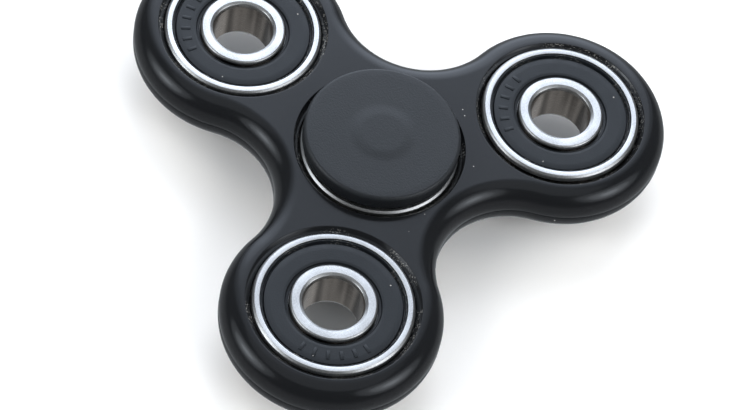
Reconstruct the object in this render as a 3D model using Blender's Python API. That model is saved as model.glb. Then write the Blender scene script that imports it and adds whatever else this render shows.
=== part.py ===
"""A three-lobed hand spinner: moulded body, four sealed ball bearings and two finger caps.

Units are metres, +Z is the spin axis and one lobe points along +X. The origin is on the spin
axis, in the flat face of the lower cap, on which the spinner rests.
"""

import math

import bmesh
import bpy
from mathutils import Vector

MM = 0.001

# Ball bearing of the 8 x 22 x 7 mm size, measured from its own centre.
BORE_R = 4.0 * MM
BEARING_R = 11.0 * MM
BEARING_WIDTH = 7.0 * MM
BALL_R = 3.969 / 2 * MM
BALL_COUNT = 7
PITCH_R = 7.5 * MM
GROOVE_R = BALL_R + 0.065 * MM
INNER_LAND_R = 5.9 * MM
INNER_SHOULDER_R = 6.1 * MM
OUTER_SHOULDER_R = 8.95 * MM
SEAL_SEAT_R = 9.85 * MM
SEAL_SEAT_DEPTH = 1.15 * MM
RING_CORNER = 0.45 * MM
LAND_CORNER = 0.3 * MM

# Rubber seal: a flat washer with a lower rim that snaps into the outer ring.
SEAL_INNER_R = 6.1 * MM
SEAL_RIM_R = 9.3 * MM
SEAL_OUTER_R = 9.78 * MM
SEAL_RECESS = 0.4 * MM
SEAL_RIM_DROP = 0.3 * MM
SEAL_THICKNESS = 0.5 * MM

# Crown cage: a ring under the balls with straight fingers between them.
CAGE_INNER_R = 6.75 * MM
CAGE_OUTER_R = 8.25 * MM
CAGE_FLOOR = -2.42 * MM
CAGE_TOP = 0.9 * MM
POCKET_R = BALL_R + 0.13 * MM
POCKET_COLUMNS = 7

# Moulded body.
LOBE_COUNT = 3
LOBE_DISTANCE = 26.2 * MM
LOBE_R = 15.0 * MM
WAIST_R = 11.3 * MM
BODY_THICKNESS = 7.0 * MM
BODY_EDGE_R = 3.0 * MM
HOLE_R = BEARING_R + 0.06 * MM
HOLE_CHAMFER = 0.7 * MM

# Finger caps.
CAP_R = 10.75 * MM
CAP_EDGE = 0.5 * MM
CAP_FLANGE = 2.25 * MM
CAP_STANDOFF = 1.05 * MM
CAP_BOSS_R = 5.3 * MM
STEM_R = 3.9 * MM
STEM_LENGTH = 3.1 * MM
SEATING_GAP = 0.02 * MM

# How far each bearing was pressed in, measured from the middle of the body's thickness.
CENTRE_SEAT = -0.35 * MM
LOBE_SEATS = {"right": 0.3 * MM, "left": -0.3 * MM, "front": -0.05 * MM}
LOBE_ANGLES = {"right": 0.0, "left": math.radians(120.0), "front": math.radians(-120.0)}

CAP_HEIGHT = CAP_FLANGE + CAP_STANDOFF
CENTRE_Z = CAP_HEIGHT + BEARING_WIDTH / 2
BODY_Z = CENTRE_Z - CENTRE_SEAT

# Facets around each kind of round piece.
RING_STEPS = 32
INNER_STEPS = 24
ARC_POINTS = 5
EDGE_STEPS = 3
LOBE_ARC_STEPS = 18
WAIST_ARC_STEPS = 7


def clear_scene():
    for old in list(bpy.data.objects):
        bpy.data.objects.remove(old, do_unlink=True)


def make_material(name, colour, roughness, metallic):
    material = bpy.data.materials.new(name)
    material.use_nodes = True
    shader = material.node_tree.nodes["Principled BSDF"]
    shader.inputs["Base Color"].default_value = (*colour, 1.0)
    shader.inputs["Roughness"].default_value = roughness
    shader.inputs["Metallic"].default_value = metallic
    return material


def make_materials():
    return {
        "body": make_material("body_plastic", (0.012, 0.013, 0.015), 0.28, 0.0),
        "cap": make_material("cap_plastic", (0.02, 0.021, 0.023), 0.5, 0.0),
        "steel": make_material("ring_steel", (0.62, 0.61, 0.6), 0.25, 1.0),
        "ball": make_material("ball_steel", (0.7, 0.7, 0.7), 0.08, 1.0),
        "seal": make_material("seal_rubber", (0.015, 0.015, 0.016), 0.6, 0.0),
        "cage": make_material("cage_nylon", (0.75, 0.73, 0.66), 0.5, 0.0),
    }


def add_object(name, mesh, location, parent=None):
    piece = bpy.data.objects.new(name, mesh)
    piece.location = location
    bpy.context.scene.collection.objects.link(piece)
    if parent is not None:
        piece.parent = parent
    return piece


def add_pivot(name, location, parent=None):
    pivot = add_object(name, None, location, parent)
    pivot.empty_display_size = 0.004
    return pivot


def finish_mesh(name, bm, material, sharp_degrees=35.0):
    bmesh.ops.recalc_face_normals(bm, faces=bm.faces)
    mesh = bpy.data.meshes.new(name)
    bm.to_mesh(mesh)
    bm.free()
    mesh.materials.append(material)
    mesh.shade_smooth()
    mesh.set_sharp_from_angle(angle=math.radians(sharp_degrees))
    return mesh


def turned_ring(name, profile, steps, material):
    """Turn a closed outline of (radius, height) points about Z into one ring."""
    bm = bmesh.new()
    loops = []
    for step in range(steps):
        angle = 2 * math.pi * step / steps
        loops.append([bm.verts.new((r * math.cos(angle), r * math.sin(angle), z)) for r, z in profile])
    join_loops(bm, loops + loops[:1], closed=True)
    return finish_mesh(name, bm, material)


def join_loops(bm, loops, closed):
    """Skin neighbouring rows of points with quads."""
    for row, following in zip(loops, loops[1:]):
        count = len(row)
        last = count if closed else count - 1
        for i in range(last):
            j = (i + 1) % count
            bm.faces.new((row[i], row[j], following[j], following[i]))


def turned_solid(name, profile, steps, material):
    """Turn an open outline, from its lowest to its highest point, and close both flat ends."""
    bm = bmesh.new()
    rows = []
    for r, z in profile:
        angles = [2 * math.pi * step / steps for step in range(steps)]
        rows.append([bm.verts.new((r * math.cos(a), r * math.sin(a), z)) for a in angles])
    join_loops(bm, rows, closed=True)
    bm.faces.new(rows[0])
    bm.faces.new(rows[-1])
    return finish_mesh(name, bm, material)


def arc(centre, radius, start, end, count):
    """Points along a circular arc, ends included, angles in radians."""
    cx, cy = centre
    points = []
    for i in range(count):
        angle = start + (end - start) * i / (count - 1)
        points.append((cx + radius * math.cos(angle), cy + radius * math.sin(angle)))
    return points


# ---------------------------------------------------------------- bearings


def inner_ring_mesh(material):
    half = BEARING_WIDTH / 2
    reach = math.acos((PITCH_R - INNER_SHOULDER_R) / GROOVE_R)
    groove = arc((PITCH_R, 0.0), GROOVE_R, math.pi - reach, math.pi + reach, ARC_POINTS)
    step_z = half - SEAL_SEAT_DEPTH
    outline = [
        (BORE_R, -half + RING_CORNER),
        (BORE_R, half - RING_CORNER),
        (BORE_R + RING_CORNER, half),
        (INNER_LAND_R - LAND_CORNER, half),
        (INNER_LAND_R, half - LAND_CORNER),
        (INNER_LAND_R, step_z),
        (INNER_SHOULDER_R, step_z),
        *groove,
        (INNER_SHOULDER_R, -step_z),
        (INNER_LAND_R, -step_z),
        (INNER_LAND_R, -half + LAND_CORNER),
        (INNER_LAND_R - LAND_CORNER, -half),
        (BORE_R + RING_CORNER, -half),
    ]
    return turned_ring("inner_ring", outline, INNER_STEPS, material)


def outer_ring_mesh(material):
    half = BEARING_WIDTH / 2
    reach = math.acos((OUTER_SHOULDER_R - PITCH_R) / GROOVE_R)
    groove = arc((PITCH_R, 0.0), GROOVE_R, -reach, reach, ARC_POINTS)
    step_z = half - SEAL_SEAT_DEPTH
    outline = [
        (BEARING_R, half - RING_CORNER),
        (BEARING_R, -half + RING_CORNER),
        (BEARING_R - RING_CORNER, -half),
        (SEAL_SEAT_R, -half),
        (SEAL_SEAT_R, -step_z),
        (OUTER_SHOULDER_R, -step_z),
        *groove,
        (OUTER_SHOULDER_R, step_z),
        (SEAL_SEAT_R, step_z),
        (SEAL_SEAT_R, half),
        (BEARING_R - RING_CORNER, half),
    ]
    return turned_ring("outer_ring", outline, RING_STEPS, material)


def seal_mesh(side, material):
    """The seal at the upper face of a bearing (side = 1) or at its lower face (side = -1)."""
    top = BEARING_WIDTH / 2 - SEAL_RECESS
    bottom = top - SEAL_THICKNESS
    outline = [
        (SEAL_INNER_R, side * bottom),
        (SEAL_OUTER_R, side * bottom),
        (SEAL_OUTER_R, side * (top - SEAL_RIM_DROP)),
        (SEAL_RIM_R, side * top),
        (SEAL_INNER_R, side * top),
    ]
    return turned_ring("seal", outline, RING_STEPS, material)


def ball_mesh(material):
    bm = bmesh.new()
    bmesh.ops.create_icosphere(bm, subdivisions=2, radius=BALL_R)
    return finish_mesh("ball", bm, material, sharp_degrees=60.0)


def cage_columns():
    """(angle from a ball's centre, height of the cage's upper edge) across one ball's share."""
    share = math.pi / BALL_COUNT
    widest = POCKET_R / PITCH_R
    columns = []
    for i in range(POCKET_COLUMNS):
        lean = math.pi / 2 * (2 * i / (POCKET_COLUMNS - 1) - 1)
        columns.append((widest * math.sin(lean), -POCKET_R * math.cos(lean)))
    columns.append((widest * 1.02, CAGE_TOP))
    columns.append((2 * share - widest * 1.02, CAGE_TOP))
    return columns


def cage_mesh(material):
    bm = bmesh.new()
    loops = []
    for ball in range(BALL_COUNT):
        for offset, height in cage_columns():
            angle = 2 * math.pi * ball / BALL_COUNT + offset
            direction = Vector((math.cos(angle), math.sin(angle), 0.0))
            corners = [(CAGE_INNER_R, CAGE_FLOOR), (CAGE_OUTER_R, CAGE_FLOOR)]
            corners += [(CAGE_OUTER_R, height), (CAGE_INNER_R, height)]
            loops.append([bm.verts.new(direction * r + Vector((0.0, 0.0, z))) for r, z in corners])
    join_loops(bm, loops + loops[:1], closed=True)
    return finish_mesh("cage", bm, material)


def make_bearing_meshes(materials):
    return {
        "outer_ring": outer_ring_mesh(materials["steel"]),
        "inner_ring": inner_ring_mesh(materials["steel"]),
        "seal_top": seal_mesh(1, materials["seal"]),
        "seal_bottom": seal_mesh(-1, materials["seal"]),
        "ball_cage": cage_mesh(materials["cage"]),
        "ball": ball_mesh(materials["ball"]),
    }


def add_bearing(place, meshes, centre):
    """One bearing, every piece parented to a pivot on the bearing's own axis."""
    pivot = add_pivot(f"{place}_bearing_axis", centre)
    for piece in ("outer_ring", "inner_ring", "seal_top", "seal_bottom", "ball_cage"):
        add_object(f"{place}_{piece}", meshes[piece], (0.0, 0.0, 0.0), pivot)
    for number in range(BALL_COUNT):
        angle = 2 * math.pi * number / BALL_COUNT
        spot = (PITCH_R * math.cos(angle), PITCH_R * math.sin(angle), 0.0)
        add_object(f"{place}_ball_{number + 1}", meshes["ball"], spot, pivot)


# ---------------------------------------------------------------- body


def lobe_centre(angle):
    return Vector((LOBE_DISTANCE * math.cos(angle), LOBE_DISTANCE * math.sin(angle), 0.0))


def body_outline(inset):
    """The tri-lobed outline, anticlockwise, moved inwards by inset.

    Each lobe is an arc about its bearing, and a hollow waist arc touches the two lobes beside it.
    """
    lobe_r = LOBE_R - inset
    waist_r = WAIST_R + inset
    half_step = math.pi / LOBE_COUNT
    along = LOBE_DISTANCE * math.cos(half_step)
    across = LOBE_DISTANCE * math.sin(half_step)
    waist_distance = along + math.sqrt((LOBE_R + WAIST_R) ** 2 - across**2)
    waist_x = waist_distance * math.cos(half_step)
    waist_y = waist_distance * math.sin(half_step)
    touch = math.atan2(waist_y, waist_x - LOBE_DISTANCE)
    waist_start = touch + math.pi
    waist_sweep = 2 * (waist_start - math.pi - half_step)
    points = []
    for lobe in range(LOBE_COUNT):
        turn = 2 * math.pi * lobe / LOBE_COUNT
        centre = lobe_centre(turn)
        points += arc(centre.xy, lobe_r, turn - touch, turn + touch, LOBE_ARC_STEPS + 1)
        middle = turn + half_step
        waist = (waist_distance * math.cos(middle), waist_distance * math.sin(middle))
        start = turn + waist_start
        points += arc(waist, waist_r, start, start - waist_sweep, WAIST_ARC_STEPS + 1)[1:-1]
    return points


def body_mesh(material):
    """The moulding: a rounded edge all round, swept from the lower flat to the upper flat."""
    bm = bmesh.new()
    half = BODY_THICKNESS / 2
    section = []
    for i in range(EDGE_STEPS + 1):
        angle = math.pi / 2 * i / EDGE_STEPS
        drop = BODY_EDGE_R * (1 - math.cos(angle))
        section.append((BODY_EDGE_R * (1 - math.sin(angle)), half - drop))
    rows = []
    for inset, z in section + [(inset, -z) for inset, z in reversed(section)]:
        rows.append([bm.verts.new((x, y, z)) for x, y in body_outline(inset)])
    join_loops(bm, rows, closed=True)
    bm.faces.new(rows[0])
    bm.faces.new(rows[-1])
    return finish_mesh("tri_lobe_body", bm, material)


def hole_cutter_mesh():
    """A bearing hole with a chamfered mouth at each face of the body."""
    half = BODY_THICKNESS / 2
    beyond = 0.5 * MM
    mouth = HOLE_R + HOLE_CHAMFER
    outline = [
        (mouth + beyond, -half - beyond),
        (HOLE_R, -half + HOLE_CHAMFER),
        (HOLE_R, half - HOLE_CHAMFER),
        (mouth + beyond, half + beyond),
    ]
    bm = bmesh.new()
    rows = []
    for r, z in outline:
        angles = [2 * math.pi * step / RING_STEPS for step in range(RING_STEPS)]
        rows.append([bm.verts.new((r * math.cos(a), r * math.sin(a), z)) for a in angles])
    join_loops(bm, rows, closed=True)
    bm.faces.new(rows[0])
    bm.faces.new(rows[-1])
    bmesh.ops.recalc_face_normals(bm, faces=bm.faces)
    mesh = bpy.data.meshes.new("hole_cutter")
    bm.to_mesh(mesh)
    bm.free()
    return mesh


def add_body(material):
    body = add_object("tri_lobe_body", body_mesh(material), (0.0, 0.0, BODY_Z))
    cutter_mesh = hole_cutter_mesh()
    centres = {"centre": Vector((0.0, 0.0, 0.0))}
    centres.update({name: lobe_centre(angle) for name, angle in LOBE_ANGLES.items()})
    for name, centre in centres.items():
        cutter = add_object(f"{name}_hole_cutter", cutter_mesh, centre, body)
        cutter.hide_render = True
        cutter.display_type = "WIRE"
        cut = body.modifiers.new(f"{name}_hole", "BOOLEAN")
        cut.operation = "DIFFERENCE"
        cut.object = cutter
    return body


# ---------------------------------------------------------------- finger caps


def cap_mesh(material):
    """A finger cap standing on the bearing's inner ring at z = 0, its stem pointing down."""
    top = CAP_HEIGHT
    outline = [
        (STEM_R - CAP_EDGE, -STEM_LENGTH),
        (STEM_R, -STEM_LENGTH + CAP_EDGE),
        (STEM_R, SEATING_GAP),
        (CAP_BOSS_R, SEATING_GAP),
        (CAP_BOSS_R, CAP_STANDOFF),
        (CAP_R - CAP_EDGE / 2, CAP_STANDOFF),
        (CAP_R, CAP_STANDOFF + CAP_EDGE / 2),
        (CAP_R, top - CAP_EDGE),
        (CAP_R - CAP_EDGE, top),
    ]
    return turned_solid("finger_cap", outline, RING_STEPS, material)


def add_caps(material):
    mesh = cap_mesh(material)
    add_object("upper_cap", mesh, (0.0, 0.0, CENTRE_Z + BEARING_WIDTH / 2))
    lower = add_object("lower_cap", mesh, (0.0, 0.0, CENTRE_Z - BEARING_WIDTH / 2))
    lower.rotation_euler = (math.pi, 0.0, 0.0)


def main():
    clear_scene()
    materials = make_materials()
    add_body(materials["body"])
    add_caps(materials["cap"])
    meshes = make_bearing_meshes(materials)
    add_bearing("centre", meshes, (0.0, 0.0, CENTRE_Z))
    for place, angle in LOBE_ANGLES.items():
        seat = Vector((0.0, 0.0, BODY_Z + LOBE_SEATS[place]))
        add_bearing(place, meshes, lobe_centre(angle) + seat)


main()
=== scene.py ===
"""Looks of a three-lobed hand spinner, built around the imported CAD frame.

Units are metres and +Z is the spin axis. Every visible piece is a fine mesh of its own that
stands for a CAD node, takes its place and size from that node's box, and rides on its body.
"""

import math

import bmesh
import bpy
from mathutils import Matrix, Vector


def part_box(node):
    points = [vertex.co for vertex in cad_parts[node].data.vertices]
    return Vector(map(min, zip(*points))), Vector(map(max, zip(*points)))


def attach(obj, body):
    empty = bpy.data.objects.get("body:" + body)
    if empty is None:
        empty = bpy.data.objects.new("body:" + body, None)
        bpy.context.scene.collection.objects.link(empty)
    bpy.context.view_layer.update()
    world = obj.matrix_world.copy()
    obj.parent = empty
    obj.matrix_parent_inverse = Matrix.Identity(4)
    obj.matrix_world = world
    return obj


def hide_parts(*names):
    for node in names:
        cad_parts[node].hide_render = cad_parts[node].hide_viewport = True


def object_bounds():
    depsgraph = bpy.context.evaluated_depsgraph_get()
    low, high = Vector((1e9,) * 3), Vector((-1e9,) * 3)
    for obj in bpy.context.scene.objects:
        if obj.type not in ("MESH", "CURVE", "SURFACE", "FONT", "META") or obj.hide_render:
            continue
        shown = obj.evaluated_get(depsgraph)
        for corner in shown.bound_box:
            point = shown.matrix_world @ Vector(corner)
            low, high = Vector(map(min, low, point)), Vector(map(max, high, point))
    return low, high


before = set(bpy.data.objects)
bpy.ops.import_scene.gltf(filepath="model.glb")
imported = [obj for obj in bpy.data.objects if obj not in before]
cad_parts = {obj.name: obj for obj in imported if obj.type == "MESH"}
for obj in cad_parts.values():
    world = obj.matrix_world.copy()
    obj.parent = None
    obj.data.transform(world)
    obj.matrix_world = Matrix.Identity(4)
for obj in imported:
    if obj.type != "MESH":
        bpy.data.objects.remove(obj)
CAD_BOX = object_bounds()

MM = 0.001
PLACES = ("centre", "right", "left", "front")
LOBES = ("right", "left", "front")

# The camera: a long lens looking down on the spinner, a little rolled. Angles in degrees.
CAMERA_AZIMUTH = -117.36
CAMERA_ELEVATION = 56.28
CAMERA_ROLL = 13.09
CAMERA_DISTANCE = 0.45682
CAMERA_LENS = 167.77
CAMERA_TARGET = Vector((-0.00478, -0.00896, 0.01065))


# ---------------------------------------------------------------- sizes read from the frame


def middle(node):
    """The middle of a node's box."""
    low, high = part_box(node)
    return (low + high) / 2


def half_size(node):
    """Half of a node's size along each axis."""
    low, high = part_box(node)
    return (high - low) / 2


CENTRES = {place: middle(f"{place}_outer_ring") for place in PLACES}
RING_HALF = half_size("centre_outer_ring")
BEARING_R = RING_HALF.x
BEARING_HALF = RING_HALF.z
BALL_R = half_size("centre_ball_1").z
PITCH_R = (middle("centre_ball_1") - CENTRES["centre"]).xy.length
BALL_NODES = [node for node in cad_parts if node.startswith("centre_ball_")]
BALL_COUNT = len(BALL_NODES) - BALL_NODES.count("centre_ball_cage")

BODY_MIDDLE = middle("tri_lobe_body")
BODY_HALF = half_size("tri_lobe_body").z
LOBE_DISTANCE = (CENTRES["right"] - CENTRES["centre"]).xy.length
LOBE_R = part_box("tri_lobe_body")[1].x - LOBE_DISTANCE

CAP_R = half_size("upper_cap").x
BEARING_TOP = CENTRES["centre"].z + BEARING_HALF
CAP_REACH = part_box("upper_cap")[1].z - BEARING_TOP
STEM_LENGTH = BEARING_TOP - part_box("upper_cap")[0].z

# ---------------------------------------------------------------- sizes of the finer detail

WAIST_R = 11.3 * MM
BODY_EDGE_R = 2.85 * MM
HOLE_R = BEARING_R + 0.06 * MM
HOLE_CHAMFER = 0.72 * MM
# The parting line is a fine groove round the body's edge: half its width, and its depth.
PARTING_WIDTH = 0.12 * MM
PARTING_DEPTH = 0.09 * MM

BORE_R = 4.0 * MM
# The rings' worn corners: width across the face and depth down the wall.
OUTER_CORNER = (0.47 * MM, 0.7 * MM)
BORE_CORNER = (0.6 * MM, 0.65 * MM)
LAND_CORNER = (0.32 * MM, 0.36 * MM)
# Where a corner bends, as shares of its width and depth, and how far its lower points are rounded.
CORNER_BEND = (0.32, 0.3)
CORNER_ROUND = (0.2 * MM, 0.22 * MM)
FACE_ROUND = 0.06 * MM
SEAT_ROUND = 0.05 * MM
SHOULDER_ROUND = 0.1 * MM
INNER_LAND_R = 5.92 * MM
INNER_SHOULDER_R = 6.1 * MM
OUTER_SHOULDER_R = 8.95 * MM
SEAL_SEAT_R = 9.85 * MM
SEAL_SEAT_DEPTH = 1.15 * MM
GROOVE_R = BALL_R + 0.065 * MM

# A seal from the inside out: low lip, flat, gentle slope, edge, groove and rim.
SEAL_INNER_R = 6.02 * MM
SEAL_FLAT_R = 6.5 * MM
SEAL_CROWN_R = 6.85 * MM
SEAL_SLOPE_R = 8.4 * MM
SEAL_EDGE_R = 9.28 * MM
SEAL_RIM_R = 9.62 * MM
SEAL_OUTER_R = 9.8 * MM
SEAL_RECESS = 0.4 * MM
SEAL_RIM_RECESS = 0.12 * MM
SEAL_GROOVE = 0.42 * MM
SEAL_THICKNESS = 0.5 * MM
SEAL_STEP = 0.34 * MM
SEAL_LIP_DROP = 0.36 * MM
SEAL_EDGE_DROP = 0.035 * MM
SEAL_FLAT_DROP = 0.04 * MM
SEAL_LEAN = 0.1 * MM
SEAL_EDGE_LEAN = 0.08 * MM
SEAL_RIM_LEAN = 0.03 * MM

# Plain moulded bars on the lobes' seals: radius, spacing and bearing in degrees, and size.
MARK_R = 7.95 * MM
MARK_COUNT = 6
MARK_PITCH = 13.0
MARK_BEARING = {"right": 155.0, "left": 160.0, "front": -105.0}
MARK_SIZE = (1.3 * MM, 0.5 * MM, 0.14 * MM)
MARK_SINK = 0.05 * MM
MARK_BEVEL = 0.4

# A finger cap: flange, boss on the bearing's inner ring, stem in its bore, raised middle.
CAP_EDGE = 0.5 * MM
CAP_UNDER_ROUND = 0.15 * MM
CAP_STANDOFF = 1.05 * MM
CAP_BOSS_R = 5.3 * MM
CAP_BOSS_ROUND = 0.08 * MM
STEM_R = 3.9 * MM
STEM_ROUND = 0.05 * MM
PLATEAU_R = 2.7 * MM
PLATEAU_FOOT_R = 4.9 * MM
PLATEAU_HEIGHT = 0.12 * MM
SEATING_GAP = 0.02 * MM

# The crown cage. Its fingers' sides and tips are multiples of the pocket's half turn and
# shares of the top height.
CAGE_INNER_R = 6.75 * MM
CAGE_OUTER_R = 8.25 * MM
CAGE_FLOOR = -2.42 * MM
CAGE_TOP = 0.9 * MM
CAGE_POCKET_R = BALL_R + 0.13 * MM
FINGER_SIDE = (1.02, 0.9)
FINGER_TIP = (1.1, 1.0)

# Steps round rings and arcs, and in the small roundings.
RING_STEPS = 128
BALL_STEPS = 32
LOBE_STEPS = 96
WAIST_STEPS = 48
EDGE_STEPS = 14
PLATEAU_STEPS = 14
GROOVE_POINTS = 7
POCKET_STEPS = 18

# A ring's faces take the ground steel, its walls the turned steel and the rest the corner steel,
# by how upright each normal is.
FLAT_ENOUGH = 0.93
WALL_ENOUGH = 0.1

# ---------------------------------------------------------------- colours and marks

# Darkest and lightest tone of each material, which its noise moves between.
TONES = {
    "body": ((0.0052, 0.0058, 0.0068), (0.0076, 0.0082, 0.0094)),
    "cap": ((0.009, 0.0106, 0.0126), (0.0135, 0.0152, 0.0176)),
    "seal": ((0.0065, 0.0082, 0.0106), (0.011, 0.0132, 0.0162)),
    "ball": ((0.66, 0.66, 0.66), (0.74, 0.74, 0.735)),
    "cage": ((0.7, 0.68, 0.6), (0.8, 0.78, 0.71)),
    "floor": ((0.91, 0.905, 0.9), (0.93, 0.925, 0.92)),
}
CRUMB_TONE = (0.22, 0.216, 0.205)
SPECK_TONE = (0.4, 0.39, 0.38)
CRUMB_COVER = 0.75

# The three steels of a ring. pitch is the number of turning marks in a metre, stretch is how
# much they smear a reflection across them, and the band share is how much of the colour comes
# from broad painted bands round the ring: painted reflection, light streaks and dark ones.
RING_STEELS = {
    "bore": {
        "name": "turned_bore_steel_painted_reflection",
        # Painted shade and painted reflection: the bore runs from near black, warm like the shade it
        # reflects, to light bands for the lamps' streaks.
        "tones": ((0.04, 0.034, 0.029), (0.52, 0.46, 0.405)),
        "roughness": (0.16, 0.3),
        "stretch": 0.95,
        "pitch": 6500.0,
        "painted_band_share": 0.88,
        "mark_depth": 0.12,
    },
    "ground": {
        "name": "ground_ring_steel",
        "tones": ((0.62, 0.61, 0.595), (0.93, 0.92, 0.9)),
        "roughness": (0.22, 0.4),
        "stretch": 0.4,
        "pitch": 9000.0,
        "painted_band_share": 0.35,
        "mark_depth": 0.4,
    },
    "corner": {
        "name": "tumbled_corner_steel_painted_shade",
        # Partly dull tumbled steel and partly painted shade: these tones are darker for the shade in
        # the corners under the cap and in the holes' chamfers.
        "tones": ((0.36, 0.355, 0.34), (0.7, 0.69, 0.67)),
        "roughness": (0.26, 0.4),
        "stretch": 0.0,
        "pitch": 9000.0,
        "painted_band_share": 0.4,
        "mark_depth": 0.3,
    },
}
QUARTER_TURN = 0.25

# ---------------------------------------------------------------- studio

# Layers of a soft light: (width in degrees, radiance), from the widest and dimmest inwards.
SIDE_LAYERS = ((50, 0.7), (32, 1.3), (14, 2.2))
BACK_LAYERS = ((78, 0.4), (64, 0.75), (52, 0.7), (38, 0.5))
COOL = (0.93, 1.0, 1.08)
BLUE = (0.89, 1.0, 1.18)
WARM = (1.0, 0.97, 0.92)
# Each soft light: degrees round from the camera, degrees up, layers and colour.
SOFT_LIGHTS = {
    "left_light": (-67, 32, SIDE_LAYERS, COOL),
    "right_light": (71, 37, SIDE_LAYERS, COOL),
    "back_light": (189, 28, BACK_LAYERS, BLUE),
}
LAYER_GAP = 0.04
TOP_WIDTH = 50
TOP_RADIANCE = 0.35
# The fills light the floor from all sides but the camera's, and the gloss doesn't see them.
FILL_COUNT = 5
FILL_SPACING = 60
FILL_ELEVATION = 34
FILL_WIDTH = 36
FILL_RADIANCE = 3.8

# The studio's own glow, below and above the horizon. The gloss sees the lower one in place of
# the floor, whose full white would wash out the dark plastic.
LOWER_GLOW = 0.42
UPPER_GLOW = 0.13
GLOW_COLOUR = (0.9, 0.95, 1.0)
GLOW_BLEND = 0.15
FLOOR_HALF = 3.0


# ---------------------------------------------------------------- mesh helpers


def arc(centre, radius, start, end, count):
    """Points along a circular arc, ends included, angles in radians."""
    cx, cy = centre
    points = []
    for i in range(count):
        angle = start + (end - start) * i / (count - 1)
        points.append((cx + radius * math.cos(angle), cy + radius * math.sin(angle)))
    return points


def rounded(corners, steps=4):
    """A closed outline from (x, y, corner radius) corners, each corner replaced by an arc."""
    points = []
    count = len(corners)
    for i, (x, y, radius) in enumerate(corners):
        here = Vector((x, y))
        if radius == 0:
            points.append((x, y))
            continue
        back = (Vector(corners[i - 1][:2]) - here).normalized()
        ahead = (Vector(corners[(i + 1) % count][:2]) - here).normalized()
        half_angle = back.angle(ahead) / 2
        start = here + back * radius / math.tan(half_angle)
        end = here + ahead * radius / math.tan(half_angle)
        centre = here + (back + ahead).normalized() * radius / math.sin(half_angle)
        for step in range(steps + 1):
            spoke = (start - centre).lerp(end - centre, step / steps).normalized() * radius
            points.append(tuple(centre + spoke))
    return points


def join_loops(bm, loops):
    """Skin neighbouring closed rows of points with quads."""
    for row, following in zip(loops, loops[1:]):
        count = len(row)
        for i in range(count):
            j = (i + 1) % count
            bm.faces.new((row[i], row[j], following[j], following[i]))


def circle_row(bm, radius, height, steps, centre=(0.0, 0.0)):
    """A closed row of points round a circle at one height."""
    row = []
    for step in range(steps):
        angle = 2 * math.pi * step / steps
        x = centre[0] + radius * math.cos(angle)
        y = centre[1] + radius * math.sin(angle)
        row.append(bm.verts.new((x, y, height)))
    return row


def add_piece(name, bm, location, *materials, sharp_degrees=40.0):
    """Make the object. A second and third material go on its flat ends and on its corners."""
    bmesh.ops.recalc_face_normals(bm, faces=bm.faces)
    if len(materials) == 3:
        bm.normal_update()
        for face in bm.faces:
            upright = abs(face.normal.z)
            if upright > FLAT_ENOUGH:
                face.material_index = 1
            elif upright > WALL_ENOUGH:
                face.material_index = 2
    mesh = bpy.data.meshes.new(name)
    bm.to_mesh(mesh)
    bm.free()
    for material in materials:
        mesh.materials.append(material)
    mesh.shade_smooth()
    mesh.set_sharp_from_angle(angle=math.radians(sharp_degrees))
    piece = bpy.data.objects.new(name, mesh)
    piece.location = location
    bpy.context.scene.collection.objects.link(piece)
    return piece


def turned_ring(outline):
    """Turn a closed (radius, height) outline about Z."""
    bm = bmesh.new()
    rows = [circle_row(bm, r, z, RING_STEPS) for r, z in outline]
    join_loops(bm, rows + rows[:1])
    return bm


def stand_for(piece, node, body):
    """The piece takes a CAD node's place and body."""
    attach(piece, body)
    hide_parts(node)
    return piece


# ---------------------------------------------------------------- material helpers


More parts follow.
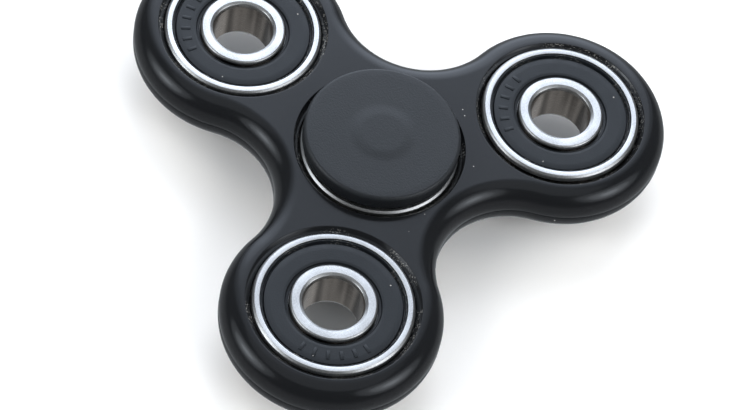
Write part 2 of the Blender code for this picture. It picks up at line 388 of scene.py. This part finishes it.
class Nodes:
    """Short-hand for building one material's node tree. Noise scales are in lumps per metre."""

    def __init__(self, name):
        self.material = bpy.data.materials.new(name)
        self.material.use_nodes = True
        self.tree = self.material.node_tree
        self.shader = self.tree.nodes["Principled BSDF"]

    def add(self, kind, **settings):
        node = self.tree.nodes.new(kind)
        for key, value in settings.items():
            setattr(node, key, value)
        return node

    def give(self, socket, value):
        """Link an output to a socket, or set the socket to a number, vector or colour."""
        if isinstance(value, bpy.types.NodeSocket):
            self.tree.links.new(value, socket)
        elif socket.type == "RGBA":
            socket.default_value = (*value, 1.0)
        else:
            socket.default_value = value

    def shade(self, socket_name, value):
        """Give a value to one of the shader's own sockets."""
        self.give(self.shader.inputs[socket_name], value)

    def coordinates(self):
        return self.add("ShaderNodeTexCoord").outputs["Object"]

    def noise(self, vector, scale, detail=3.0, rough=0.5, dimensions="3D"):
        node = self.add("ShaderNodeTexNoise", noise_dimensions=dimensions)
        self.give(node.inputs["Vector"], vector)
        self.give(node.inputs["Scale"], scale)
        self.give(node.inputs["Detail"], detail)
        self.give(node.inputs["Roughness"], rough)
        return node.outputs["Fac"]

    def spread(self, value, from_low, from_high, to_low, to_high):
        node = self.add("ShaderNodeMapRange")
        self.give(node.inputs["Value"], value)
        self.give(node.inputs["From Min"], from_low)
        self.give(node.inputs["From Max"], from_high)
        self.give(node.inputs["To Min"], to_low)
        self.give(node.inputs["To Max"], to_high)
        return node.outputs["Result"]

    def ramp(self, noise, low, high):
        """Spread the values that a noise mostly takes over low to high."""
        return self.spread(noise, 0.3, 0.7, low, high)

    def math(self, operation, first, second):
        node = self.add("ShaderNodeMath", operation=operation)
        self.give(node.inputs[0], first)
        self.give(node.inputs[1], second)
        return node.outputs["Value"]

    def vector(self, operation, first, second=(0.0, 0.0, 0.0)):
        """The outputs of a vector maths node, which are its Vector and its Value."""
        node = self.add("ShaderNodeVectorMath", operation=operation)
        self.give(node.inputs[0], first)
        self.give(node.inputs[1], second)
        return node.outputs

    def mix(self, factor, first, second):
        node = self.add("ShaderNodeMix", data_type="RGBA")
        first_colour, second_colour = node.inputs[6], node.inputs[7]
        self.give(node.inputs["Factor"], factor)
        self.give(first_colour, first)
        self.give(second_colour, second)
        return node.outputs[2]

    def bump(self, height, strength, distance, below=None):
        node = self.add("ShaderNodeBump")
        self.give(node.inputs["Height"], height)
        self.give(node.inputs["Strength"], strength)
        self.give(node.inputs["Distance"], distance)
        if below is not None:
            self.give(node.inputs["Normal"], below)
        return node.outputs["Normal"]

    def round_marks(self, around, across, detail=3.0, rough=0.5):
        """Noise drawn out along circles about Z, with no seam.

        around is its number of lumps in a radian, and across in a metre of radius or height.
        """
        place = self.coordinates()
        flat = self.vector("MULTIPLY", place, (1.0, 1.0, 0.0))["Vector"]
        radius = self.vector("LENGTH", flat)["Value"]
        spoke = self.vector("NORMALIZE", flat)["Vector"]
        turned = self.vector("MULTIPLY", spoke, (around, around, 0.0))["Vector"]
        outward = self.add("ShaderNodeCombineXYZ")
        self.give(outward.inputs["Z"], self.math("MULTIPLY", radius, across))
        height = self.add("ShaderNodeSeparateXYZ")
        self.give(height.inputs["Vector"], place)
        spot = self.vector("ADD", turned, outward.outputs["Vector"])["Vector"]
        marks = self.noise(spot, 1.0, detail, rough, dimensions="4D")
        self.give(marks.node.inputs["W"], self.math("MULTIPLY", height.outputs["Z"], across))
        return marks


def dust(nodes, place, tone, inner_r, outer_r, centres):
    """Crumbs caught between two radii round each centre, and a few loose specks everywhere."""
    flat = nodes.vector("MULTIPLY", place, (1.0, 1.0, 0.0))["Vector"]
    nearest = None
    for x, y in centres:
        away = nodes.vector("DISTANCE", flat, (x, y, 0.0))["Value"]
        nearest = away if nearest is None else nodes.math("MINIMUM", nearest, away)
    beyond = nodes.math("GREATER_THAN", nearest, inner_r)
    inside = nodes.math("MULTIPLY", beyond, nodes.math("LESS_THAN", nearest, outer_r))
    crumbs = nodes.spread(nodes.noise(place, 4300.0, 2.0), 0.57, 0.63, 0.0, 1.0)
    patches = nodes.spread(nodes.noise(place, 230.0, 2.0), 0.46, 0.56, 0.0, 1.0)
    caught = nodes.math("MULTIPLY", nodes.math("MULTIPLY", crumbs, patches), inside)
    cells = nodes.add("ShaderNodeTexVoronoi", feature="F1")
    nodes.give(cells.inputs["Vector"], place)
    nodes.give(cells.inputs["Scale"], 700.0)
    specks = nodes.spread(cells.outputs["Distance"], 0.075, 0.055, 0.0, 1.0)
    chosen = nodes.spread(nodes.noise(place, 260.0, 1.0), 0.62, 0.64, 0.0, 1.0)
    crumbed = nodes.mix(nodes.math("MULTIPLY", caught, CRUMB_COVER), tone, CRUMB_TONE)
    return nodes.mix(nodes.math("MULTIPLY", specks, chosen), crumbed, SPECK_TONE)


def body_plastic():
    """Gloss black moulding: slight waviness, faint smears, and dust round the bearings."""
    nodes = Nodes("gloss_black_plastic")
    place = nodes.coordinates()
    tone = nodes.mix(nodes.noise(place, 90.0), *TONES["body"])
    centres = [tuple(spot.xy) for spot in CENTRES.values()]
    dusty = dust(nodes, place, tone, BEARING_R, HOLE_R + HOLE_CHAMFER, centres)
    nodes.shade("Base Color", dusty)
    nodes.shade("Roughness", nodes.ramp(nodes.noise(place, 140.0, 5.0, 0.6), 0.12, 0.19))
    nodes.shade("Specular IOR Level", 0.42)
    wave = nodes.bump(nodes.noise(place, 220.0, 2.0), 0.12, 0.06 * MM)
    nodes.shade("Normal", nodes.bump(nodes.noise(place, 2600.0, 2.0), 0.05, 0.02 * MM, wave))
    return nodes.material


def cap_plastic():
    """Fine spark-eroded black plastic."""
    nodes = Nodes("matt_black_plastic")
    place = nodes.coordinates()
    nodes.shade("Base Color", nodes.mix(nodes.noise(place, 160.0, 4.0), *TONES["cap"]))
    nodes.shade("Roughness", nodes.ramp(nodes.noise(place, 300.0, 4.0), 0.38, 0.46))
    nodes.shade("Specular IOR Level", 0.46)
    coarse = nodes.bump(nodes.noise(place, 3600.0, 3.0), 0.7, 0.04 * MM)
    nodes.shade("Normal", nodes.bump(nodes.noise(place, 8000.0, 2.0), 0.4, 0.02 * MM, coarse))
    return nodes.material


def ring_steel(name, tones, roughness, stretch, pitch, painted_band_share, mark_depth):
    """Bearing steel with fine marks that run round it, and broad bands of painted reflection in its
    colour.
    """
    nodes = Nodes(name)
    place = nodes.coordinates()
    marks = nodes.round_marks(2.0, pitch, 3.0, 0.6)
    # Painted reflection: broad light and dark bands round the ring, put into the colour in place of
    # the lamps' streaks and glints.
    painted_reflection_bands = nodes.spread(nodes.round_marks(1.7, 40.0, 1.5), 0.4, 0.6, 0.0, painted_band_share)
    grain = nodes.noise(place, 6500.0, 2.0)
    speckle = nodes.ramp(grain, 0.0, 1.0 - painted_band_share)
    nodes.shade("Base Color", nodes.mix(nodes.math("ADD", speckle, painted_reflection_bands), *tones))
    nodes.shade("Metallic", 1.0)
    nodes.shade("Roughness", nodes.ramp(marks, *roughness))
    nodes.shade("Anisotropic", stretch)
    nodes.shade("Anisotropic Rotation", QUARTER_TURN)
    around = nodes.add("ShaderNodeTangent", direction_type="RADIAL", axis="Z")
    nodes.shade("Tangent", around.outputs["Tangent"])
    turned = nodes.bump(marks, mark_depth, 0.01 * MM)
    nodes.shade("Normal", nodes.bump(grain, 0.15, 0.01 * MM, turned))
    return nodes.material


def ball_steel():
    """Polished steel with the faintest haze."""
    nodes = Nodes("polished_ball_steel")
    place = nodes.coordinates()
    nodes.shade("Base Color", nodes.mix(nodes.noise(place, 500.0), *TONES["ball"]))
    nodes.shade("Metallic", 1.0)
    nodes.shade("Roughness", nodes.ramp(nodes.noise(place, 1500.0), 0.04, 0.1))
    return nodes.material


def seal_rubber():
    """Moulded black rubber with a soft sheen, and crumbs in the groove by its rim."""
    nodes = Nodes("moulded_black_rubber")
    place = nodes.coordinates()
    tone = nodes.mix(nodes.noise(place, 350.0, 4.0), *TONES["seal"])
    dusty = dust(nodes, place, tone, SEAL_EDGE_R, SEAL_OUTER_R, [(0.0, 0.0)])
    nodes.shade("Base Color", dusty)
    nodes.shade("Roughness", nodes.ramp(nodes.noise(place, 600.0, 4.0), 0.36, 0.46))
    nodes.shade("Specular IOR Level", 0.44)
    fine = nodes.bump(nodes.noise(place, 4200.0, 3.0), 0.5, 0.03 * MM)
    nodes.shade("Normal", nodes.bump(nodes.round_marks(1.5, 4000.0), 0.12, 0.01 * MM, fine))
    return nodes.material


def cage_nylon():
    """Undyed moulded nylon."""
    nodes = Nodes("natural_nylon")
    place = nodes.coordinates()
    nodes.shade("Base Color", nodes.mix(nodes.noise(place, 300.0), *TONES["cage"]))
    nodes.shade("Roughness", nodes.ramp(nodes.noise(place, 900.0), 0.42, 0.55))
    nodes.shade("Normal", nodes.bump(nodes.noise(place, 3000.0), 0.2, 0.02 * MM))
    return nodes.material


# ---------------------------------------------------------------- body


def body_outline(inset):
    """The tri-lobed outline, anticlockwise, moved inwards by inset."""
    half_step = math.pi / len(LOBES)
    along = LOBE_DISTANCE * math.cos(half_step)
    across = LOBE_DISTANCE * math.sin(half_step)
    waist_distance = along + math.sqrt((LOBE_R + WAIST_R) ** 2 - across**2)
    waist_x = waist_distance * math.cos(half_step)
    waist_y = waist_distance * math.sin(half_step)
    touch = math.atan2(waist_y, waist_x - LOBE_DISTANCE)
    points = []
    for lobe in range(len(LOBES)):
        turn = 2 * half_step * lobe
        centre = (LOBE_DISTANCE * math.cos(turn), LOBE_DISTANCE * math.sin(turn))
        points += arc(centre, LOBE_R - inset, turn - touch, turn + touch, LOBE_STEPS + 1)
        waist_turn = turn + half_step
        waist = (waist_distance * math.cos(waist_turn), waist_distance * math.sin(waist_turn))
        start = turn + touch + math.pi
        sweep = 2 * (touch - half_step)
        points += arc(waist, WAIST_R + inset, start, start - sweep, WAIST_STEPS + 1)[1:-1]
    return points


def edge_section():
    """(inset, height) from the upper flat, over the rounded edge, to just above the parting line."""
    support = 0.2 * MM
    lip = 0.02 * MM
    section = [(BODY_EDGE_R + support, BODY_HALF)]
    for i in range(EDGE_STEPS + 1):
        angle = math.pi / 2 * i / EDGE_STEPS
        drop = BODY_EDGE_R * (1 - math.cos(angle))
        section.append((BODY_EDGE_R * (1 - math.sin(angle)), BODY_HALF - drop))
    section.append((0.0, PARTING_WIDTH))
    section.append((lip, PARTING_WIDTH / 2))
    return section


def hole_section():
    """(radius, height) from the upper flat into a bearing hole, down to its mid-height."""
    mouth = HOLE_R + HOLE_CHAMFER
    soft = 0.04 * MM
    land = 0.5 * MM
    return [
        (mouth + 3 * soft, BODY_HALF),
        (mouth + soft, BODY_HALF),
        (mouth + soft / 4, BODY_HALF - soft / 4),
        (mouth - soft / 2, BODY_HALF - soft),
        (HOLE_R + soft / 2, BODY_HALF - HOLE_CHAMFER),
        (HOLE_R, BODY_HALF - HOLE_CHAMFER - soft),
        (HOLE_R, land),
    ]


def mirrored(section):
    """The section and its mirror image below the middle plane."""
    return section + [(across, -height) for across, height in reversed(section)]


def row_edges(bm, row):
    """The edges that join a closed row of points."""
    return [bm.edges.get((row[i - 1], row[i])) for i in range(len(row))]


def add_body(material):
    """The moulding: its rounded edge, its four holes, and the flats that join them."""
    bm = bmesh.new()
    upper = edge_section()
    groove = [(PARTING_DEPTH, 0.0)]
    lower = [(inset, -z) for inset, z in reversed(upper)]
    outer_rows = []
    for inset, z in upper + groove + lower:
        outer_rows.append([bm.verts.new((x, y, z)) for x, y in body_outline(inset)])
    join_loops(bm, outer_rows)
    rims = {1: row_edges(bm, outer_rows[0]), -1: row_edges(bm, outer_rows[-1])}
    for place in PLACES:
        spot = CENTRES[place].xy
        rows = [circle_row(bm, r, z, RING_STEPS, spot) for r, z in mirrored(hole_section())]
        join_loops(bm, rows)
        rims[1] += row_edges(bm, rows[0])
        rims[-1] += row_edges(bm, rows[-1])
    for side, edges in rims.items():
        bmesh.ops.triangle_fill(bm, edges=edges, use_beauty=True, normal=(0, 0, side))
    spot = (0.0, 0.0, BODY_MIDDLE.z)
    piece = add_piece("body_moulding", bm, spot, material, sharp_degrees=60.0)
    return stand_for(piece, "tri_lobe_body", "rotor")


# ---------------------------------------------------------------- finger caps


def cap_profile():
    """(radius, height) from the stem's foot to the middle of the top, standing on z = 0."""
    top = CAP_REACH
    corners = [
        (0.0, -STEM_LENGTH, 0.0),
        (STEM_R, -STEM_LENGTH, CAP_EDGE),
        (STEM_R, SEATING_GAP, STEM_ROUND),
        (CAP_BOSS_R, SEATING_GAP, CAP_BOSS_ROUND),
        (CAP_BOSS_R, CAP_STANDOFF, CAP_UNDER_ROUND),
        (CAP_R, CAP_STANDOFF, CAP_UNDER_ROUND),
        (CAP_R, top, CAP_EDGE),
        (0.0, top, 0.0),
    ]
    outline = rounded(corners, 6)[1:-1]
    centre = [(CAP_R - 3 * CAP_EDGE, top)]
    for i in range(PLATEAU_STEPS + 1):
        share = i / PLATEAU_STEPS
        rise = PLATEAU_HEIGHT * (0.5 - 0.5 * math.cos(math.pi * share))
        centre.append((PLATEAU_FOOT_R + (PLATEAU_R - PLATEAU_FOOT_R) * share, top + rise))
    return outline + centre


def add_caps(material):
    """The two finger caps, one the mirror image of the other."""
    for side, name in ((1, "upper_cap"), (-1, "lower_cap")):
        bm = bmesh.new()
        rows = [circle_row(bm, r, side * z, RING_STEPS) for r, z in cap_profile()]
        join_loops(bm, rows)
        foot = bm.verts.new((0.0, 0.0, -side * STEM_LENGTH))
        crown = bm.verts.new((0.0, 0.0, side * (CAP_REACH + PLATEAU_HEIGHT)))
        for tip, row in ((foot, rows[0]), (crown, rows[-1])):
            for i in range(len(row)):
                bm.faces.new((row[i - 1], row[i], tip))
        seat = CENTRES["centre"] + Vector((0.0, 0.0, side * BEARING_HALF))
        piece = add_piece(f"{name}_moulding", bm, seat, material, sharp_degrees=50.0)
        stand_for(piece, name, "hub")


# ---------------------------------------------------------------- bearings


def corner(edge_r, half, size, side):
    """A worn corner between a ring's wall at edge_r and its face, from the wall up to the face.

    side is 1 when the ring's steel lies outside the wall, as at a bore, and -1 when inside it.
    """
    across, down = size
    bend_across, bend_down = CORNER_BEND
    return [
        (edge_r, half - down, CORNER_ROUND[0]),
        (edge_r + side * across * bend_across, half - down * bend_down, CORNER_ROUND[1]),
        (edge_r + side * across, half, FACE_ROUND),
    ]


def lowered(points):
    """The same points at the lower face, in the order that goes on round the outline."""
    return [(r, -z, soft) for r, z, soft in reversed(points)]


def inner_ring_outline():
    """(radius, height, rounding): bore, face, seal step, shoulder and ball groove."""
    half = BEARING_HALF
    step = half - SEAL_SEAT_DEPTH
    reach = math.acos((PITCH_R - INNER_SHOULDER_R) / GROOVE_R)
    groove = arc((PITCH_R, 0.0), GROOVE_R, math.pi, math.pi - reach, GROOVE_POINTS)
    upper = corner(BORE_R, half, BORE_CORNER, 1)
    upper += reversed(corner(INNER_LAND_R, half, LAND_CORNER, -1))
    upper += [(INNER_LAND_R, step, SEAT_ROUND), (INNER_SHOULDER_R, step, SHOULDER_ROUND)]
    upper += [(x, y, 0.0) for x, y in reversed(groove)]
    return rounded(upper + lowered(upper[:-1]))


def outer_ring_outline():
    """(radius, height, rounding): outer wall, face, seal seat, shoulder and ball groove."""
    half = BEARING_HALF
    step = half - SEAL_SEAT_DEPTH
    reach = math.acos((OUTER_SHOULDER_R - PITCH_R) / GROOVE_R)
    groove = arc((PITCH_R, 0.0), GROOVE_R, reach, 0.0, GROOVE_POINTS)
    upper = corner(BEARING_R, half, OUTER_CORNER, -1)
    upper += [(SEAL_SEAT_R, half, FACE_ROUND), (SEAL_SEAT_R, step, SEAT_ROUND)]
    upper += [(OUTER_SHOULDER_R, step, SHOULDER_ROUND)]
    upper += [(x, y, 0.0) for x, y in groove]
    return rounded(upper + lowered(upper[:-1]))


def seal_outline(side):
    """A flat rubber washer: a low step round the inner ring, a groove, and a rim by the face."""
    top = BEARING_HALF - SEAL_RECESS
    bottom = top - SEAL_THICKNESS
    rim = BEARING_HALF - SEAL_RIM_RECESS
    low = top - SEAL_GROOVE
    lip, crisp, fine, softer = 0.04 * MM, 0.05 * MM, 0.06 * MM, 0.1 * MM
    crown_in, crown_out = 0.5 * MM, 0.6 * MM
    corners = [
        (SEAL_INNER_R, bottom, crisp),
        (SEAL_OUTER_R, bottom, crisp),
        (SEAL_OUTER_R, rim, fine),
        (SEAL_RIM_R, rim, fine),
        (SEAL_RIM_R - SEAL_RIM_LEAN, low, fine),
        (SEAL_EDGE_R + SEAL_EDGE_LEAN, low, fine),
        (SEAL_EDGE_R, top - SEAL_EDGE_DROP, softer),
        (SEAL_SLOPE_R, top, crown_out),
        (SEAL_CROWN_R, top, crown_in),
        (SEAL_FLAT_R, top - SEAL_FLAT_DROP, crisp),
        (SEAL_FLAT_R - SEAL_LEAN, top - SEAL_STEP, crisp),
        (SEAL_INNER_R, top - SEAL_LIP_DROP, lip),
    ]
    return [(r, side * z) for r, z in rounded(corners, 3)]


def add_seal_marks(place, side, material):
    """A run of plain raised bars moulded into the seal's flat, close together like a date mark."""
    top = BEARING_HALF - SEAL_RECESS
    bm = bmesh.new()
    first = MARK_BEARING[place] - MARK_PITCH * (MARK_COUNT - 1) / 2
    for number in range(MARK_COUNT):
        turn = math.radians(first + MARK_PITCH * number)
        made = bmesh.ops.create_cube(bm, size=1.0)["verts"]
        bmesh.ops.scale(bm, vec=MARK_SIZE, verts=made)
        middle_height = side * (top + MARK_SIZE[2] / 2 - MARK_SINK)
        bmesh.ops.translate(bm, vec=(MARK_R, 0.0, middle_height), verts=made)
        bmesh.ops.rotate(bm, matrix=Matrix.Rotation(turn, 3, "Z"), verts=made)
    width = MARK_SIZE[2] * MARK_BEVEL
    bmesh.ops.bevel(bm, geom=bm.edges[:], offset=width, segments=2, affect="EDGES", profile=0.5)
    end = "top" if side == 1 else "bottom"
    marks = add_piece(f"{place}_seal_marks_{end}", bm, CENTRES[place], material)
    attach(marks, "rotor")


def cage_bm():
    """A crown cage: a floor ring with fingers that stand up between the balls."""
    widest = CAGE_POCKET_R / PITCH_R
    share = math.pi / BALL_COUNT
    columns = []
    for i in range(POCKET_STEPS + 1):
        lean = math.pi / 2 * (2 * i / POCKET_STEPS - 1)
        columns.append((widest * math.sin(lean), -CAGE_POCKET_R * math.cos(lean)))
    for wide, tall in (FINGER_SIDE, FINGER_TIP):
        columns.append((widest * wide, CAGE_TOP * tall))
    for wide, tall in (FINGER_TIP, FINGER_SIDE):
        columns.append((2 * share - widest * wide, CAGE_TOP * tall))
    bm = bmesh.new()
    loops = []
    for ball in range(BALL_COUNT):
        for offset, height in columns:
            angle = 2 * share * ball + offset
            out = Vector((math.cos(angle), math.sin(angle), 0.0))
            lower = [(CAGE_INNER_R, CAGE_FLOOR), (CAGE_OUTER_R, CAGE_FLOOR)]
            upper = [(CAGE_OUTER_R, height), (CAGE_INNER_R, height)]
            loops.append([bm.verts.new(out * r + Vector((0.0, 0.0, z))) for r, z in lower + upper])
    join_loops(bm, loops + loops[:1])
    return bm


def add_rings(place, inner_body, materials):
    """A bearing's two rings. The inner one rides on the hub or turns in its lobe."""
    steels = [materials[steel] for steel in RING_STEELS]
    outer = turned_ring(outer_ring_outline())
    ring = add_piece(f"{place}_outer_race_steel", outer, CENTRES[place], *steels)
    stand_for(ring, f"{place}_outer_ring", "rotor")
    inner = turned_ring(inner_ring_outline())
    ring = add_piece(f"{place}_inner_race_steel", inner, CENTRES[place], *steels)
    stand_for(ring, f"{place}_inner_ring", inner_body)


def add_seals(place, material):
    """A bearing's two seals. The lobes' seals carry the raised bars."""
    for side, end in ((1, "top"), (-1, "bottom")):
        washer = turned_ring(seal_outline(side))
        seal = add_piece(f"{place}_seal_rubber_{end}", washer, CENTRES[place], material)
        stand_for(seal, f"{place}_seal_{end}", "rotor")
        if place in LOBES:
            add_seal_marks(place, side, material)


def add_balls(place, materials):
    """A bearing's cage and the balls in it, which go round together."""
    body = f"{place}_ball_set"
    cage = add_piece(f"{place}_crown_cage", cage_bm(), CENTRES[place], materials["cage"])
    stand_for(cage, f"{place}_ball_cage", body)
    for number in range(1, BALL_COUNT + 1):
        node = f"{place}_ball_{number}"
        bm = bmesh.new()
        half_turns = BALL_STEPS // 2
        bmesh.ops.create_uvsphere(bm, u_segments=BALL_STEPS, v_segments=half_turns, radius=BALL_R)
        ball = add_piece(f"{place}_steel_ball_{number}", bm, middle(node), materials["ball"])
        stand_for(ball, node, body)


# ---------------------------------------------------------------- stage


def add_floor():
    """A pale floor that the lower cap rests on."""
    nodes = Nodes("pale_floor")
    nodes.shade("Base Color", nodes.mix(nodes.noise(nodes.coordinates(), 30.0), *TONES["floor"]))
    nodes.shade("Roughness", 0.6)
    bm = bmesh.new()
    bmesh.ops.create_grid(bm, x_segments=4, y_segments=4, size=FLOOR_HALF)
    height = CAD_BOX[0][2] - PLATEAU_HEIGHT - SEATING_GAP
    floor = add_piece("pale_floor", bm, (0.0, 0.0, height), nodes.material)
    floor.visible_glossy = False


def direction(azimuth, elevation):
    """The unit vector that points at an azimuth and elevation, in degrees."""
    turn, lift = math.radians(azimuth), math.radians(elevation)
    return Vector((math.cos(turn) * math.cos(lift), math.sin(turn) * math.cos(lift), math.sin(lift)))


def add_softbox(name, azimuth, elevation, width, radiance, colour, distance=1.0):
    """A round light panel aimed at the spinner, placed by degrees round and above it.

    width is in degrees too, as the spinner sees it.
    """
    out = direction(azimuth, elevation)
    radius = distance * math.tan(math.radians(width / 2))
    light = bpy.data.lights.new(name, "AREA")
    light.shape = "DISK"
    light.size = 2 * radius
    light.energy = radiance * math.pi * math.pi * radius**2
    light.color = colour
    lamp = bpy.data.objects.new(name, light)
    lamp.location = out * distance
    lamp.rotation_euler = out.to_track_quat("Z", "Y").to_euler()
    bpy.context.scene.collection.objects.link(lamp)
    return lamp


def add_soft_light(name, azimuth, elevation, layers, colour):
    """Round panels one before the other, each narrower, so that the light fades at its edge."""
    for number, (width, radiance) in enumerate(layers):
        distance = 1.0 - LAYER_GAP * number
        add_softbox(f"{name}_{number}", azimuth, elevation, width, radiance, colour, distance)


def add_glow():
    """The world: a dim glow that is brighter below the horizon."""
    world = bpy.data.worlds.new("studio")
    world.use_nodes = True
    tree = world.node_tree
    split = tree.nodes.new("ShaderNodeSeparateXYZ")
    level = tree.nodes.new("ShaderNodeMapRange")
    tree.links.new(tree.nodes.new("ShaderNodeTexCoord").outputs["Generated"], split.inputs["Vector"])
    tree.links.new(split.outputs["Z"], level.inputs["Value"])
    level.inputs["From Min"].default_value = -GLOW_BLEND
    level.inputs["From Max"].default_value = GLOW_BLEND
    level.inputs["To Min"].default_value = LOWER_GLOW
    level.inputs["To Max"].default_value = UPPER_GLOW
    background = tree.nodes["Background"]
    background.inputs["Color"].default_value = (*GLOW_COLOUR, 1.0)
    tree.links.new(level.outputs["Result"], background.inputs["Strength"])
    bpy.context.scene.world = world


def add_lights():
    """Soft lights at the left, right and back, a dim one overhead, and fills for the floor."""
    for name, (turn, elevation, layers, colour) in SOFT_LIGHTS.items():
        add_soft_light(name, CAMERA_AZIMUTH + turn, elevation, layers, colour)
    add_softbox("top_light", CAMERA_AZIMUTH, 90, TOP_WIDTH, TOP_RADIANCE, COOL)
    for number in range(FILL_COUNT):
        azimuth = CAMERA_AZIMUTH + FILL_SPACING * (number + 1)
        name = f"floor_fill_{number}"
        fill = add_softbox(name, azimuth, FILL_ELEVATION, FILL_WIDTH, FILL_RADIANCE, WARM)
        fill.visible_glossy = False


def add_camera():
    """The long lens that looks down at the spinner, rolled about its line of sight."""
    camera = bpy.data.objects.new("camera", bpy.data.cameras.new("camera"))
    out = direction(CAMERA_AZIMUTH, CAMERA_ELEVATION)
    level = out.to_track_quat("Z", "Y").to_matrix()
    roll = Matrix.Rotation(math.radians(CAMERA_ROLL), 3, "Z")
    camera.rotation_euler = (level @ roll).to_euler()
    camera.location = CAMERA_TARGET + out * CAMERA_DISTANCE
    camera.data.lens = CAMERA_LENS
    camera.data.clip_start = 0.01
    bpy.context.scene.collection.objects.link(camera)
    bpy.context.scene.camera = camera


materials = {steel: ring_steel(**settings) for steel, settings in RING_STEELS.items()}
materials["ball"] = ball_steel()
materials["seal"] = seal_rubber()
materials["cage"] = cage_nylon()
add_body(body_plastic())
add_caps(cap_plastic())
for place in PLACES:
    add_rings(place, "hub" if place == "centre" else f"{place}_inner_race", materials)
    add_seals(place, materials["seal"])
    add_balls(place, materials)
add_floor()
add_glow()
add_lights()
add_camera()
bpy.context.scene.view_settings.view_transform = "Standard"
